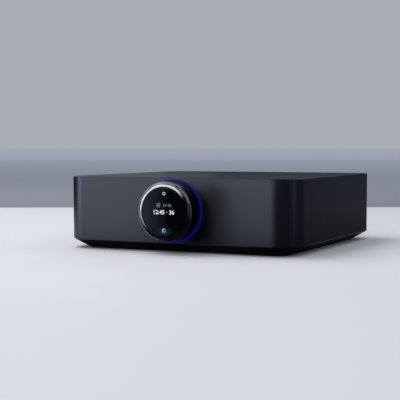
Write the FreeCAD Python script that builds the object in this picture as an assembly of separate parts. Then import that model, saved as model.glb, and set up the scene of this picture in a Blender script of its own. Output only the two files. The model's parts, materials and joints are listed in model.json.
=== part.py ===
import FreeCAD, Part
import math
import os

# A compact streaming amplifier: an aluminium shell over a black plastic plinth, a round display
# inside a turning volume ring on the front, and a recessed connector panel at the back.
# Millimetres. +X is right seen from the front, +Y is back, +Z is up. The origin is at the middle
# of the object's box, on the surface that it stands on.

# The case
body_width = 220.0
body_depth = 215.0
shell_height = 56.0
corner_radius = 21.5
shell_wall = 2.5
roof_wall = 2.5
roof_bevel = 0.5
skirt_bevel = 0.5

# The plinth: its sides slope in from just inside the shell's edge to a smaller foot outline
plinth_height = 7.5
plinth_reveal = 0.6
plinth_undercut = 13.0
plinth_corner_radius = 12.7
plinth_floor = 2.0
lip_height = 2.4
lip_thickness = 1.8
vent_width = 2.6
vent_length = 36.0
vent_pitch = 6.5
vents_in_a_field = 7
vent_field_x = 45.0

# Clearances
slot_gap = 0.2
press_gap = 0.02
running_gap = 0.3
thread_gap = 0.03
overshoot = 1.0

# Feet
foot_radius = 9.0
foot_height = 0.6
foot_seat = 0.8
foot_inset = 25.0

# Case screws and the bosses that take them
screw_radius = 1.5
screw_head_radius = 2.8
screw_head_height = 1.6
screw_socket = 1.1
screw_grip = 7.0
screw_tip_gap = 1.0
boss_radius = 4.0
boss_inset = 10.0

# Volume ring and display, whose stations are measured forward of the front face
knob_reach = 18.5
ring_margin = 3.0
ring_wall = 1.4
ring_lift = 0.6
ring_rim_bevel = 0.5
ring_nose_length = 1.1
ring_nose_setback = 0.9
glass_thickness = 1.4
glass_bevel_width = 2.4
glass_bevel_depth = 1.0
glass_side_gap = 0.4
display_thickness = 1.8
housing_floor = 1.4
housing_wall = 1.0
housing_step = 1.4
hub_wall = 4.0
hub_plate = 2.5
hub_roof_gap = 0.7
display_screw_radius = 0.8
display_screw_head = 1.7
display_screw_grip = 5.0

# Light ring, its lamps and their board
light_width = 2.0
light_proud = 0.8
light_seat = 1.2
light_guide_wall = 3.0
light_tail = 1.7
lamp_count = 20
lamp_side = 1.8
lamp_height = 0.8
lamp_board_thickness = 1.0
pad_depth = 2.5

# Thin-section ball bearing of the volume ring
race_thickness = 1.6
race_spacing = 2.8
race_groove = 0.3
ball_count = 15
ball_gap = 0.12
cage_thickness = 1.2
cage_setback = 0.5
shoulder_width = 1.5
carrier_wall = 2.6
carrier_lip = 1.2
magnet_width = 1.6
magnet_gap = 1.4
clip_thickness = 0.9
clip_groove = 0.8
clip_mouth = 4.0

# Rear opening and panel
opening_margin = 1.5
opening_drop = 8.0
opening_corner = 5.0
panel_thickness = 2.5
panel_overlap = 3.0
bracket_width = 8.0
bracket_thickness = 4.0
bracket_boss_gap = 0.8
bracket_foot_thickness = 2.0
bracket_screw_grip = 5.0
panel_screw_shift = 0.5
panel_screw_inset = 6.0
hole_gap = 0.25

# Boards
board_thickness = 1.6
board_lift = 9.4
standoff_radius = 3.2
standoff_inset = 6.0
main_standoff_pitch = 38.0
arm_screw_gap = 4.6
board_gap = 5.0
board_side_gap = 1.0
socket_row_gap = 4.6
power_board_setback = 22.5

# Speaker posts, measured out from the panel's face
post_pitch = 19.0
post_height = 34.9
post_length = 21.2
post_margin = 8.0
collar_radius = 7.3
collar_height = 4.0
collar_spigot = 4.5
post_flange_radius = 5.2
post_flange_height = 1.5
post_thread_radius = 3.5
post_shaft_radius = 3.2
post_tail = 9.0
banana_radius = 2.05
banana_depth = 16.2
cap_radius = 6.8
cap_overhang = 1.0
cap_flute_radius = 0.9
cap_flute_count = 18
washer_radius = 5.6
washer_height = 1.0
nut_height = 2.5
nut_across = 10.0

# Sockets in the lower row and the two stacks beside them
terminal_margin = 7.5
terminal_half_height = 9.0
ethernet_width = 16.0
ethernet_height = 13.5
ethernet_length = 20.0
ethernet_top_wall = 2.1
plug_width = 11.8
plug_height = 7.0
plug_depth = 14.0
latch_width = 6.2
latch_height = 1.8
nick_width = 3.6
nick_height = 1.4
usb_width = 13.4
usb_height = 6.2
usb_length = 14.0
hdmi_width = 15.4
hdmi_height = 6.0
hdmi_length = 12.0
socket_skin = 0.5
socket_proud = 0.8
optical_side = 10.4
optical_length = 14.0
optical_wall = 1.0
shutter_thickness = 0.7
shutter_pin_radius = 0.4
trigger_width = 8.0
trigger_height = 7.4
trigger_bore = 1.8
trigger_nose_radius = 3.0
phono_block_width = 12.4
phono_block_depth = 12.0
phono_block_gap = 2.6
phono_block_top = 8.5
phono_pitch = 16.0
phono_sleeve_radius = 4.15
phono_sleeve_wall = 0.45
phono_length = 10.6
phono_bore = 1.65
phono_bore_depth = 9.5
phono_collar_radius = 5.6
phono_collar_height = 1.2
button_radius = 1.7
button_proud = 0.6
button_travel = 0.5
switch_width = 7.0

# Mains inlet
inlet_width = 31.0
inlet_height = 24.5
inlet_flange = 2.3
inlet_body_width = 28.0
inlet_body_height = 20.4
inlet_cavity_width = 24.4
inlet_cavity_height = 16.9
inlet_cavity_depth = 17.0
inlet_corner_cut = 5.0
inlet_floor = 2.5
inlet_margin = 3.0
inlet_rise = 17.4
pin_width = 2.0
pin_height = 4.0
pin_spread = 7.0
pin_drop = 1.5
pin_setback = 2.5
earth_rise = 2.5
live_tail = 2.0
earth_tail = 5.0
pin_leg = 1.2

# Parts on the boards
part_gap = 3.0
capacitor_radius = 10.5
capacitor_height = 36.0
capacitor_count = 2
capacitor_setback = 14.0
core_width = 34.0
core_depth = 30.0
core_height = 28.0
core_bar = 5.0
winding_overhang = 6.0
winding_gap = 0.2
heatsink_width = 56.0
heatsink_depth = 26.0
heatsink_setback = 8.0
heatsink_base = 5.0
fin_thickness = 1.6
fin_pitch = 5.0
chip_side = 14.0
chip_height = 1.5
inductor_side = 12.0
inductor_height = 9.0
inductor_pitch = 17.0
inductor_corner = 2.5
radio_width = 18.0
radio_depth = 22.0
radio_height = 2.6
antenna_width = 14.0
antenna_height = 7.0
antenna_thickness = 0.8
filter_coil_radius = 7.5
filter_coil_bore = 3.5
filter_coil_height = 8.0
filter_box_width = 8.0
filter_box_depth = 18.0
filter_box_height = 14.0
fuse_radius = 2.6
fuse_length = 20.0
link_depth = 11.0
link_height = 6.5
link_reach = 5.0
link_setback = 28.0
ribbon_thickness = 0.3
ribbon_width = 12.0
lamp_ribbon_width = 5.0
ribbon_bend = 2.0
ribbon_lead = 5.0
ribbon_socket_depth = 5.0
ribbon_socket_height = 2.6
ribbon_margin = 1.0
ribbon_slot_gap = 0.5
ribbon_slot_height = 3.0

V = FreeCAD.Vector
along_x = V(1, 0, 0)
along_y = V(0, 1, 0)
along_z = V(0, 0, 1)

# Levels and faces that everything else is placed from
plinth_bottom = foot_height
shell_bottom = plinth_bottom + plinth_height
shell_roof = shell_bottom + shell_height
inner_roof = shell_roof - roof_wall
floor_top = plinth_bottom + plinth_floor
boss_joint = shell_bottom + lip_height
panel_recess = shell_wall + slot_gap
rear_reach = post_length - panel_recess
front_face = -(body_depth + rear_reach - knob_reach) / 2
rear_face = front_face + body_depth
body_middle = (front_face + rear_face) / 2
panel_face = rear_face - panel_recess
panel_back = panel_face - panel_thickness
half_width = body_width / 2
knob_x = 0.0
knob_z = shell_bottom + shell_height / 2
opening_height = shell_height - opening_drop
board_bottom = floor_top + board_lift
board_top = board_bottom + board_thickness


def block(x0, x1, y0, y1, z0, z1):
    return Part.makeBox(x1 - x0, y1 - y0, z1 - z0, V(x0, y0, z0))


def rod(x, z, radius, y0, y1):
    """A round bar along Y."""
    return Part.makeCylinder(radius, y1 - y0, V(x, y0, z), along_y)


def post(x, y, radius, z0, z1):
    """A round bar along Z."""
    return Part.makeCylinder(radius, z1 - z0, V(x, y, z0), along_z)


def turned(x, z, outline):
    """A solid turned about the line along Y through x, z, from (radius, y) points."""
    points = [V(x + radius, y, z) for radius, y in outline]
    face = Part.Face(Part.makePolygon(points + points[:1]))
    return face.revolve(V(x, 0, z), along_y, 360)


def tube(x, z, inner, outer, y0, y1):
    return turned(x, z, [(inner, y0), (outer, y0), (outer, y1), (inner, y1)])


def rounded_wire(place, u0, u1, v0, v1, radius):
    """A rectangle with round corners. place turns its two coordinates into a point."""
    middle = radius * (1 - math.sqrt(0.5))
    sides = [
        ((u0 + radius, v0), (u1 - radius, v0)),
        ((u1, v0 + radius), (u1, v1 - radius)),
        ((u1 - radius, v1), (u0 + radius, v1)),
        ((u0, v1 - radius), (u0, v0 + radius)),
    ]
    corners = [
        (u1 - middle, v0 + middle),
        (u1 - middle, v1 - middle),
        (u0 + middle, v1 - middle),
        (u0 + middle, v0 + middle),
    ]
    edges = []
    for number, (start, end) in enumerate(sides):
        following = sides[(number + 1) % 4][0]
        edges.append(Part.LineSegment(place(*start), place(*end)).toShape())
        edges.append(Part.Arc(place(*end), place(*corners[number]), place(*following)).toShape())
    return Part.Wire(edges)


def case_outline(inset, radius, z):
    """The case's rounded outline, drawn in by inset, at height z."""
    return rounded_wire(
        lambda u, v: V(u, v, z),
        inset - half_width,
        half_width - inset,
        front_face + inset,
        rear_face - inset,
        radius,
    )


def case_block(inset, z0, z1):
    wire = case_outline(inset, corner_radius - inset, z0)
    return Part.Face(wire).extrude(V(0, 0, z1 - z0))


def upright_plate(x0, x1, z0, z1, radius, y0, y1):
    """A plate across Y with round corners."""
    wire = rounded_wire(lambda u, v: V(u, y0, v), x0, x1, z0, z1, radius)
    return Part.Face(wire).extrude(V(0, y1 - y0, 0))


def prism_y(points, y0, y1):
    """A solid along Y from (x, z) points."""
    corners = [V(x, y0, z) for x, z in points]
    return Part.Face(Part.makePolygon(corners + corners[:1])).extrude(V(0, y1 - y0, 0))


def hexagon(across, centre, first, second):
    """The corners of a hexagon in the plane of two directions."""
    reach = across / math.sqrt(3)
    corners = []
    for side in range(6):
        angle = math.radians(60 * side)
        corners.append(centre + first * (reach * math.cos(angle)) + second * (reach * math.sin(angle)))
    return corners


def hexagonal_bar(across, start, direction, length):
    first = along_x
    second = direction.cross(first)
    corners = hexagon(across, start, first, second)
    return Part.Face(Part.makePolygon(corners + corners[:1])).extrude(direction * length)


def screw(seat, direction, grip):
    """A socket-head screw. seat is under its head, and direction points out of the head."""
    head = Part.makeCylinder(screw_head_radius, screw_head_height, seat, direction)
    shank = Part.makeCylinder(screw_radius, grip, seat, direction * -1)
    mouth = seat + direction * screw_head_height
    socket = hexagonal_bar(screw_radius * 1.6, mouth, direction * -1, screw_socket)
    return head.fuse(shank).cut(socket)


def bevelled(solid, size, z):
    """Bevels the outer edges that lie at height z."""
    edges = [e for e in solid.Edges if abs(e.BoundBox.ZMin - z) < 1e-6 and abs(e.BoundBox.ZMax - z) < 1e-6]
    return solid.makeChamfer(size, edges)


def put(name, *shapes):
    """Writes one named sub-part, which may hold several separate solids."""
    solids = [solid for shape in shapes for solid in shape.removeSplitter().Solids]
    made = solids[0] if len(solids) == 1 else Part.makeCompound(solids)
    made.exportStep(os.path.join("parts", name + ".step"))
    faulty = [solid for solid in solids if not solid.isValid() or solid.Volume <= 0]
    volume = sum(solid.Volume for solid in solids)
    print(f"{name}: {len(solids)} solid(s), {volume:.0f} mm3", "FAULTY" if faulty else "")
    return made


def plinth_shape_at(z):
    """The plinth's outer inset and corner radius at height z, both straight from top to bottom."""
    share = (z - plinth_bottom) / plinth_height
    inset = plinth_undercut + (plinth_reveal - plinth_undercut) * share
    radius = plinth_corner_radius + (corner_radius - plinth_reveal - plinth_corner_radius) * share
    return inset, radius


def corner_places(inset_x, inset_y):
    """The four places that lie inset from the plinth's foot outline."""
    x = half_width - plinth_undercut - inset_x
    y = body_depth / 2 - plinth_undercut - inset_y
    return [(sx * x, body_middle + sy * y) for sx in (-1, 1) for sy in (-1, 1)]


def forward(distance):
    """The Y of a station that lies this far forward of the front face."""
    return front_face - distance


def outward(distance):
    """The Y of a station that lies this far out from the rear panel's face."""
    return panel_face + distance


# Stations of the volume ring and display, forward of the front face
glass_back = knob_reach - glass_thickness
nose_front = knob_reach - ring_nose_setback
rim_front = nose_front - ring_nose_length
ring_back = light_proud + ring_lift
ring_radius = shell_height / 2 - ring_margin
ring_inner = ring_radius - ring_wall
glass_radius = ring_inner - glass_side_gap
housing_radius = glass_radius - 0.1
display_radius = housing_radius - housing_wall - 0.1
display_back = glass_back - display_thickness
housing_back = display_back - 0.7 - housing_floor
hub_front = housing_back
clip_front = hub_front - 0.3
bearing_front = clip_front - clip_thickness
magnet_back = light_proud + magnet_gap
carrier_back = magnet_back + magnet_width
bearing_back = carrier_back + carrier_lip
bearing_width = bearing_front - bearing_back
cage_width = bearing_width - 2 * cage_setback
bearing_outer = ring_inner - carrier_wall
bearing_bore = bearing_outer - 2 * race_thickness - race_spacing
ball_radius = race_spacing / 2 + race_groove
hub_plate_radius = shell_height / 2 - roof_wall - hub_roof_gap
light_outer = ring_radius + light_width
light_inner = bearing_bore + 2.5
light_hole = light_inner + light_guide_wall + 0.1
pad_back = -shell_wall - pad_depth
pad_screw_depth = shell_wall + pad_depth - light_seat - 0.6
ball_circle = (bearing_bore + bearing_outer) / 2

# The main board's edges and the lower row of sockets, which starts at the left bracket
opening_half = half_width - corner_radius - opening_margin
panel_half = opening_half + panel_overlap
panel_top = shell_bottom + opening_height + panel_overlap
bracket_inner = opening_half + overshoot - bracket_width
bracket_foot_front = rear_face - plinth_undercut - boss_inset + boss_radius + bracket_boss_gap
main_left = board_side_gap - bracket_inner
main_back = panel_back - running_gap
ethernet_back = panel_face + socket_proud - ethernet_length
inductor_front = ethernet_back - socket_row_gap - inductor_side
main_front = inductor_front - part_gap - heatsink_depth - heatsink_setback
inlet_x = bracket_inner - inlet_margin - inlet_width / 2
phono_width = 2 * phono_block_width + phono_block_gap
row_widths = [ethernet_width, usb_width, trigger_width, hdmi_width, optical_side, switch_width, phono_width]
row_end = inlet_x - inlet_width / 2
socket_gap = (row_end - main_left - sum(row_widths)) / len(row_widths)
row_places = [
    main_left + sum(row_widths[:number]) + socket_gap * (number + 0.5) + width / 2
    for number, width in enumerate(row_widths)
]
ethernet_x, usb_x, trigger_x, hdmi_x, optical_x, button_x, phono_x = row_places
phono_first = phono_x - (phono_block_width + phono_block_gap) / 2
phono_second = phono_x + (phono_block_width + phono_block_gap) / 2
main_right = phono_x + phono_width / 2 + board_side_gap
inlet_z = board_top + inlet_rise
power_left = ribbon_width + board_side_gap
power_right = bracket_inner - board_side_gap
arm_left = main_right + board_gap
power_front = front_face + power_board_setback
power_back = main_front - board_gap
inlet_back = outward(inlet_flange - inlet_cavity_depth - inlet_floor)
arm_back = inlet_back - running_gap
fuse_y = inlet_back - earth_tail - part_gap - fuse_radius
filter_coil_y = fuse_y - fuse_radius - part_gap - filter_coil_radius
arm_screw_y = filter_coil_y - filter_coil_radius - arm_screw_gap - screw_head_radius
post_z = shell_bottom + post_height
post_places = [post_margin - bracket_inner + post_pitch * number for number in (3, 2, 1, 0)]
trigger_z = board_top + trigger_height / 2
button_z = board_top + 4.0
phono_rows = [board_top + phono_block_top + phono_pitch * row for row in (0, 1)]
phono_places = [(x, z) for x in (phono_first, phono_second) for z in phono_rows]
phono_block_height = phono_pitch + 2 * phono_block_top


def ring_boss():
    """The thick pad behind the front wall that takes the hub's screws."""
    outer = hub_plate_radius + slot_gap
    return tube(knob_x, knob_z, light_hole, outer, front_face + shell_wall, forward(pad_back))


def hub_screw_places():
    radius = (light_hole + hub_plate_radius) / 2
    turns = [math.radians(45 + 90 * quarter) for quarter in range(4)]
    return [(knob_x + radius * math.cos(a), knob_z + radius * math.sin(a)) for a in turns]


def make_shell():
    shell = Part.Face(case_outline(0, corner_radius, shell_bottom)).extrude(V(0, 0, shell_height))
    shell = bevelled(shell, roof_bevel, shell_roof)
    shell = bevelled(shell, skirt_bevel, shell_bottom)
    shell = shell.cut(case_block(shell_wall, shell_bottom, inner_roof))
    places = corner_places(boss_inset, boss_inset)
    bosses = [post(x, y, boss_radius, boss_joint, inner_roof) for x, y in places]
    shell = shell.fuse([ring_boss()] + bosses)
    thread = screw_radius + thread_gap
    threads = [post(x, y, thread, boss_joint, boss_joint + screw_grip) for x, y in places]
    pad_face = forward(pad_back)
    for x, z in hub_screw_places():
        threads.append(rod(x, z, thread, pad_face - pad_screw_depth, pad_face))
    hole = rod(knob_x, knob_z, light_hole, front_face - overshoot, forward(pad_back))
    seat = rod(knob_x, knob_z, light_outer + slot_gap / 2, front_face - overshoot, front_face + light_seat)
    opening = upright_plate(
        -opening_half,
        opening_half,
        shell_bottom - opening_corner - overshoot,
        shell_bottom + opening_height,
        opening_corner,
        rear_face - shell_wall - overshoot,
        rear_face + overshoot,
    )
    put("top_shell", shell.cut(threads + [hole, seat, opening]))


def standoff_places():
    rows = (main_front + standoff_inset, main_front + standoff_inset + main_standoff_pitch)
    columns = (main_left + standoff_inset, main_right - standoff_inset)
    main = [(x, y) for y in rows for x in columns]
    power = [
        (power_left + standoff_inset, power_front + standoff_inset),
        (power_right - standoff_inset, power_front + standoff_inset),
        (power_left + standoff_inset, power_back - standoff_inset),
        (power_right - standoff_inset, arm_screw_y),
    ]
    return main, power


def make_plinth():
    inset, radius = plinth_shape_at(shell_bottom)
    outer = Part.makeLoft(
        [
            case_outline(plinth_undercut, plinth_corner_radius, plinth_bottom),
            case_outline(inset, radius, shell_bottom),
        ],
        True,
        True,
    )
    side = shell_wall + slot_gap + lip_thickness - plinth_reveal
    low_inset, low_radius = plinth_shape_at(floor_top)
    pocket = Part.makeLoft(
        [
            case_outline(low_inset + side, low_radius - side, floor_top),
            case_outline(inset + side, radius - side, shell_bottom),
        ],
        True,
        True,
    )
    lip_outer = shell_wall + slot_gap
    lip = case_block(lip_outer, shell_bottom, boss_joint)
    lip = lip.cut(case_block(lip_outer + lip_thickness, shell_bottom, boss_joint))
    panel_room = block(
        -panel_half - slot_gap,
        panel_half + slot_gap,
        panel_back - slot_gap,
        rear_face,
        shell_bottom,
        boss_joint,
    )
    pad_room = rod(knob_x, knob_z, hub_plate_radius + 2 * slot_gap, front_face, front_face + 4 * shell_wall)
    lip = lip.cut([panel_room, pad_room])

    added = [lip]
    removed = []
    thread = screw_radius + thread_gap
    head_room = plinth_bottom + screw_head_height + slot_gap
    for x, y in corner_places(boss_inset, boss_inset):
        added.append(post(x, y, boss_radius, floor_top, boss_joint))
        removed.append(post(x, y, thread, plinth_bottom, boss_joint))
        removed.append(post(x, y, screw_head_radius + slot_gap, plinth_bottom, head_room))
    for x, y in standoff_places()[0] + standoff_places()[1]:
        added.append(post(x, y, standoff_radius, floor_top, board_bottom))
        removed.append(post(x, y, thread, board_bottom - screw_grip, board_bottom))
    for x, y in bracket_screw_places():
        x0, x1 = x - bracket_width / 2, x + bracket_width / 2
        pad = block(x0, x1, bracket_foot_front, panel_back, floor_top, shell_bottom)
        added.append(pad.common(outer))
        removed.append(post(x, y, thread, shell_bottom - bracket_screw_grip, shell_bottom))
    for x, y in corner_places(foot_inset, foot_inset):
        removed.append(post(x, y, foot_radius + slot_gap / 2, plinth_bottom, plinth_bottom + foot_seat))
    reach = vent_pitch * (vents_in_a_field - 1) / 2
    for middle in (-vent_field_x, vent_field_x):
        for number in range(vents_in_a_field):
            x = middle - reach + vent_pitch * number
            y0, y1 = body_middle - vent_length / 2, body_middle + vent_length / 2
            removed.append(block(x - vent_width / 2, x + vent_width / 2, y0, y1, plinth_bottom, floor_top))
    put("plinth", outer.cut(pocket).fuse(added).cut(removed))


def bracket_screw_places():
    x = bracket_inner + bracket_width / 2
    y = (bracket_foot_front + panel_back - bracket_thickness) / 2
    return [(side * x, y) for side in (-1, 1)]


def make_brackets():
    """Two steel angles that stand on the plinth and take the rear panel's screws."""
    brackets = []
    for x, y in bracket_screw_places():
        x0, x1 = x - bracket_width / 2, x + bracket_width / 2
        back = panel_back - bracket_thickness
        upright = block(x0, x1, back, panel_back, shell_bottom, panel_top - panel_overlap)
        foot_top = shell_bottom + bracket_foot_thickness
        foot = block(x0, x1, bracket_foot_front, back, shell_bottom, foot_top)
        holes = [post(x, y, screw_radius + hole_gap, shell_bottom, foot_top)]
        for screw_x, z in panel_screw_places():
            holes.append(rod(screw_x, z, screw_radius + thread_gap, back, panel_back))
        brackets.append(upright.fuse(foot).cut(holes))
    put("panel_brackets", *brackets)


def panel_screw_places():
    x = bracket_inner + bracket_width / 2 - panel_screw_shift
    heights = (shell_bottom + panel_screw_inset, shell_bottom + opening_height - panel_screw_inset)
    return [(side * x, z) for side in (-1, 1) for z in heights]


def make_feet():
    feet = [
        post(x, y, foot_radius, plinth_bottom - foot_height, plinth_bottom + foot_seat)
        for x, y in corner_places(foot_inset, foot_inset)
    ]
    put("rubber_feet", *[bevelled(foot, foot_height / 2, plinth_bottom - foot_height) for foot in feet])


def make_case_screws(hub_screws):
    seat = plinth_bottom + screw_head_height + slot_gap
    grip = boss_joint - seat + screw_grip - screw_tip_gap
    screws = [screw(V(x, y, seat), along_z * -1, grip) for x, y in corner_places(boss_inset, boss_inset)]
    board_grip = board_thickness + screw_grip - screw_tip_gap
    for x, y in standoff_places()[0] + standoff_places()[1]:
        screws.append(screw(V(x, y, board_top), along_z, board_grip))
    foot_top = shell_bottom + bracket_foot_thickness
    foot_grip = bracket_foot_thickness + bracket_screw_grip - screw_tip_gap
    screws += [screw(V(x, y, foot_top), along_z, foot_grip) for x, y in bracket_screw_places()]
    put("chassis_screws", *screws, *hub_screws)


def make_rear_fasteners():
    grip = panel_thickness + bracket_thickness - 0.5
    pieces = [screw(V(x, panel_face, z), along_y, grip) for x, z in panel_screw_places()]
    nut_face = outward(-panel_thickness - board_thickness)
    for x in post_places:
        nut = hexagonal_bar(nut_across, V(x, nut_face, post_z), along_y * -1, nut_height)
        bore = rod(x, post_z, post_shaft_radius + thread_gap, nut_face - nut_height, nut_face)
        pieces.append(nut.cut(bore))
    put("rear_fasteners", *pieces)


def make_light_ring():
    profile = [
        (light_inner, forward(-light_seat - light_tail)),
        (light_hole - 0.1, forward(-light_seat - light_tail)),
        (light_hole - 0.1, forward(-light_seat)),
        (light_outer, forward(-light_seat)),
        (light_outer, forward(light_proud - 0.3)),
        (light_outer - 0.3, forward(light_proud)),
        (light_inner, forward(light_proud)),
    ]
    put("light_ring", turned(knob_x, knob_z, profile))


def make_lamp_board():
    back = pad_back
    front = back + lamp_board_thickness
    board = tube(knob_x, knob_z, bearing_bore + 0.4, light_hole - 0.2, forward(front), forward(back))
    put("lamp_board", board)
    radius = (light_inner + light_hole) / 2 - 0.2
    lamps = []
    for number in range(lamp_count):
        lamp = block(
            radius - lamp_side / 2,
            radius + lamp_side / 2,
            forward(front + lamp_height),
            forward(front),
            -lamp_side / 2,
            lamp_side / 2,
        )
        lamp.rotate(V(0, 0, 0), along_y, 360 / lamp_count * number)
        lamp.translate(V(knob_x, 0, knob_z))
        lamps.append(lamp)
    put("ring_lamps", *lamps)


def ribbon_notch_x():
    """Where the lamp board's ribbon passes the hub's plate."""
    return power_left - lamp_ribbon_width - 0.5


def make_hub():
    """The fixed tube that carries the bearing and display. Returns the screws that hold it."""
    tube_outer = bearing_bore - press_gap
    tube_inner = bearing_bore - hub_wall
    profile = [
        (tube_inner, forward(pad_back - hub_plate)),
        (hub_plate_radius, forward(pad_back - hub_plate)),
        (hub_plate_radius, forward(pad_back)),
        (tube_outer, forward(pad_back)),
        (tube_outer, forward(bearing_back - shoulder_width)),
        (bearing_bore + race_thickness, forward(bearing_back - shoulder_width)),
        (bearing_bore + race_thickness, forward(bearing_back)),
        (tube_outer, forward(bearing_back)),
        (tube_outer, forward(bearing_front)),
        (tube_outer - clip_groove, forward(bearing_front)),
        (tube_outer - clip_groove, forward(clip_front)),
        (tube_outer, forward(clip_front)),
        (tube_outer, forward(hub_front)),
        (tube_inner, forward(hub_front)),
    ]
    hub = turned(knob_x, knob_z, profile)
    cuts = [
        rod(x, z, screw_radius + thread_gap, forward(pad_back), forward(pad_back - hub_plate))
        for x, z in hub_screw_places()
    ]
    thread_end = forward(hub_front - display_screw_grip - screw_tip_gap)
    for x, z in display_screw_places():
        cuts.append(rod(x, z, display_screw_radius + thread_gap, forward(hub_front), thread_end))
    x = ribbon_notch_x()
    cuts.append(
        block(
            x - 0.5,
            x + lamp_ribbon_width + 0.5,
            forward(pad_back),
            forward(pad_back - hub_plate),
            lamp_ribbon_z() - 1.0,
            lamp_ribbon_z() + 1.0,
        )
    )
    put("hub", hub.cut(cuts))
    seat = forward(pad_back - hub_plate)
    grip = hub_plate + pad_screw_depth - slot_gap
    return [screw(V(x, seat, z), along_y, grip) for x, z in hub_screw_places()]


def lamp_ribbon_z():
    reach = (bearing_bore + light_hole) / 2
    across = ribbon_notch_x() + lamp_ribbon_width / 2
    return knob_z - math.sqrt(reach * reach - across * across)


def display_screw_places():
    radius = bearing_bore - hub_wall / 2
    turns = [math.radians(90 + 120 * third) for third in range(3)]
    return [(knob_x + radius * math.cos(a), knob_z + radius * math.sin(a)) for a in turns]


def make_bearing():
    back, front = forward(bearing_back), forward(bearing_front)
    middle = (back + front) / 2
    groove = Part.makeTorus(ball_circle, ball_radius + ball_gap, V(knob_x, middle, knob_z), along_y)
    inner = tube(knob_x, knob_z, bearing_bore, bearing_bore + race_thickness, front, back)
    outer = tube(knob_x, knob_z, bearing_outer - race_thickness, bearing_outer, front, back)
    put("bearing_inner_race", inner.cut(groove))
    put("bearing_outer_race", outer.cut(groove))
    cage = tube(
        knob_x,
        knob_z,
        ball_circle - cage_thickness / 2,
        ball_circle + cage_thickness / 2,
        middle - cage_width / 2,
        middle + cage_width / 2,
    )
    balls = []
    pockets = []
    for number in range(ball_count):
        angle = 2 * math.pi * number / ball_count
        outward_way = V(math.cos(angle), 0, math.sin(angle))
        place = V(knob_x, middle, knob_z) + outward_way * ball_circle
        balls.append(Part.makeSphere(ball_radius, place))
        start = place - outward_way * ball_radius
        pockets.append(Part.makeCylinder(ball_radius + ball_gap, 2 * ball_radius, start, outward_way))
    put("bearing_balls", *balls)
    put("bearing_cage", cage.cut(pockets))
    clip = tube(
        knob_x,
        knob_z,
        bearing_bore - clip_groove,
        bearing_bore + race_thickness - 0.3,
        forward(clip_front),
        forward(bearing_front),
    )
    mouth = block(
        knob_x - clip_mouth / 2,
        knob_x + clip_mouth / 2,
        forward(clip_front),
        forward(bearing_front),
        knob_z - ring_radius,
        knob_z,
    )
    put("retaining_clip", clip.cut(mouth))


def make_volume_ring():
    profile = [
        (ring_inner, forward(ring_back)),
        (ring_radius - 0.3, forward(ring_back)),
        (ring_radius, forward(ring_back + 0.3)),
        (ring_radius, forward(rim_front - ring_rim_bevel)),
        (ring_radius - ring_rim_bevel, forward(rim_front)),
        (ring_inner + 0.3, forward(nose_front)),
        (ring_inner, forward(nose_front)),
    ]
    put("volume_ring", turned(knob_x, knob_z, profile))
    carrier = [
        (bearing_outer - race_thickness + 0.4, forward(carrier_back)),
        (ring_inner - press_gap, forward(carrier_back)),
        (ring_inner - press_gap, forward(bearing_front)),
        (bearing_outer + press_gap, forward(bearing_front)),
        (bearing_outer + press_gap, forward(bearing_back)),
        (bearing_outer - race_thickness + 0.4, forward(bearing_back)),
    ]
    put("ring_carrier", turned(knob_x, knob_z, carrier))
    put(
        "encoder_magnet",
        tube(
            knob_x,
            knob_z,
            bearing_outer - race_thickness + 0.4,
            ring_inner - press_gap,
            forward(carrier_back),
            forward(magnet_back),
        ),
    )


def make_display():
    floor_front = housing_back + housing_floor
    inner = housing_radius - housing_wall
    housing = turned(
        knob_x,
        knob_z,
        [
            (0, forward(housing_back)),
            (housing_radius, forward(housing_back)),
            (housing_radius, forward(glass_back)),
            (inner, forward(glass_back)),
            (inner, forward(display_back)),
            (inner - housing_step, forward(display_back)),
            (inner - housing_step, forward(floor_front)),
            (0, forward(floor_front)),
        ],
    )
    half = ribbon_width / 2 + ribbon_slot_gap
    rise = ribbon_slot_height / 2
    front, back = forward(floor_front), forward(housing_back)
    cuts = [block(knob_x - half, knob_x + half, front, back, knob_z - rise, knob_z + rise)]
    screws = []
    for x, z in display_screw_places():
        seat = forward(floor_front - display_screw_radius)
        cuts.append(rod(x, z, display_screw_radius + thread_gap, front, back))
        cuts.append(rod(x, z, display_screw_head + slot_gap / 2, front, seat))
        head = rod(x, z, display_screw_head, front, seat)
        shank = rod(x, z, display_screw_radius, seat, forward(hub_front - display_screw_grip))
        screws.append(head.fuse(shank))
    put("display_housing", housing.cut(cuts))
    put("display_screws", *screws)
    put("display_panel", rod(knob_x, knob_z, display_radius, forward(glass_back), forward(display_back)))
    glass = turned(
        knob_x,
        knob_z,
        [
            (0, forward(glass_back)),
            (glass_radius, forward(glass_back)),
            (glass_radius, forward(knob_reach - glass_bevel_depth)),
            (glass_radius - glass_bevel_width, forward(knob_reach)),
            (0, forward(knob_reach)),
        ],
    )
    put("cover_glass", glass)


def socket_holes():
    """The panel's cut-outs, each one clearance larger than what comes through it."""
    low, high = panel_back - overshoot, panel_face + overshoot
    holes = []
    for x, width, height in (
        (ethernet_x, ethernet_width, ethernet_height),
        (usb_x, usb_width, usb_height),
        (hdmi_x, hdmi_width, hdmi_height),
        (optical_x, optical_side, optical_side),
    ):
        half = width / 2 + hole_gap
        top = board_top + height + hole_gap
        holes.append(block(x - half, x + half, low, high, board_top - hole_gap, top))
    holes.append(rod(trigger_x, trigger_z, trigger_nose_radius + hole_gap, low, high))
    holes.append(rod(button_x, button_z, button_radius + hole_gap, low, high))
    for x, z in phono_places:
        holes.append(rod(x, z, phono_sleeve_radius + 0.6 + hole_gap, low, high))
    for x in post_places:
        holes.append(rod(x, post_z, collar_spigot + hole_gap, low, high))
    for x, z in panel_screw_places():
        holes.append(rod(x, z, screw_radius + thread_gap, low, high))
    half = inlet_body_width / 2 + hole_gap
    rise = inlet_body_height / 2 + hole_gap
    holes.append(block(inlet_x - half, inlet_x + half, low, high, inlet_z - rise, inlet_z + rise))
    return holes


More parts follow.
